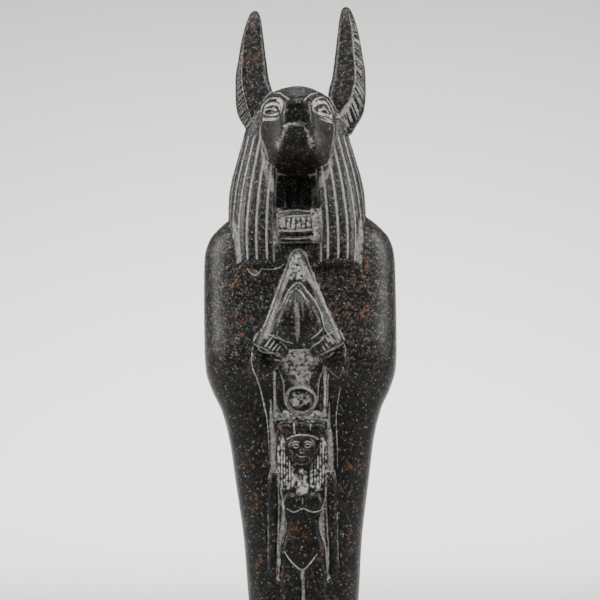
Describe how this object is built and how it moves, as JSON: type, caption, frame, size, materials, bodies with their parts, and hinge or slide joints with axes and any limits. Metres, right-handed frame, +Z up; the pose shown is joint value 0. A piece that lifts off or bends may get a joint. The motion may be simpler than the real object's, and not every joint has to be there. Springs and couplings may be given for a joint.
{
  "type": "anubis statue",
  "caption": "Standing jackal-headed mummiform statuette in dark speckled granite, hands joined on the chest, a horned goddess carved down the front, on a low base",
  "frame": {"origin": "on the flat underside of the base, straight below the upright axis of the figure", "axes": "+Z up along the figure's height, -Y is the way the figure faces, +X is to the right of someone who looks at its face"},
  "size_m": [0.0702, 0.0632, 0.3],
  "materials": {
    "granite": "satin-polished black granite with rust-red and grey flecks, matt light grey in the carved lines"
  },
  "bodies": {
    "root": {"anubis_statue": "granite"}
  },
  "joints": []
}
